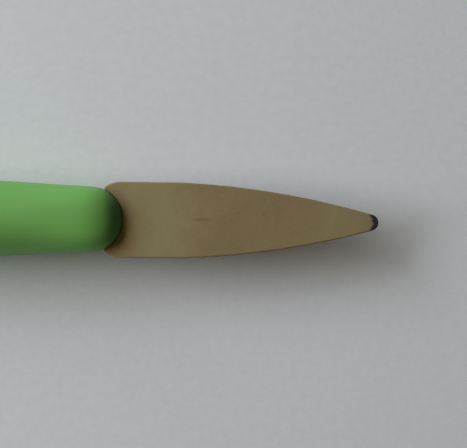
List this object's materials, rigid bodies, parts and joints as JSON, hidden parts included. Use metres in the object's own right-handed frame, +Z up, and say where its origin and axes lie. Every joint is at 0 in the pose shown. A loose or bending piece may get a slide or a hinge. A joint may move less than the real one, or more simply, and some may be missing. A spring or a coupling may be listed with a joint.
{
  "type": "blending stump",
  "caption": "Handled blending stump: a flat leaf-shaped paper head on a round moulded handle, used to smudge and blend dry drawing media. The head pulls off its tang.",
  "frame": {"origin": "on the surface the tool lies on, under its axis and half way between the butt and the tip", "axes": "+X along the tool towards the tip of the stump, +Z up and square to the stump's flat faces, +Y across the stump"},
  "size_m": [0.1508, 0.0094, 0.0094],
  "materials": {
    "moulded_green": "moulded, soft matt",
    "strip_steel": "cold-rolled strip",
    "stump_paper": "pressed soft paper, matt, sanded edge",
    "stump_board": "soft grey-brown board, cut edge"
  },
  "bodies": {
    "handle": {"nose": "moulded_green", "barrel_tube": "moulded_green", "butt_plug": "moulded_green", "tang": "strip_steel", "tang_pin": "strip_steel"},
    "stump": {"face_ply_top": "stump_paper", "inner_ply_top": "stump_board", "centre_ply": "stump_board", "inner_ply_bottom": "stump_board", "face_ply_bottom": "stump_paper"}
  },
  "joints": [
    {"name": "stump_pull", "type": "slide", "parent": "handle", "child": "stump", "axis": [1, 0, 0], "range_m": [0, 0.024]}
  ]
}
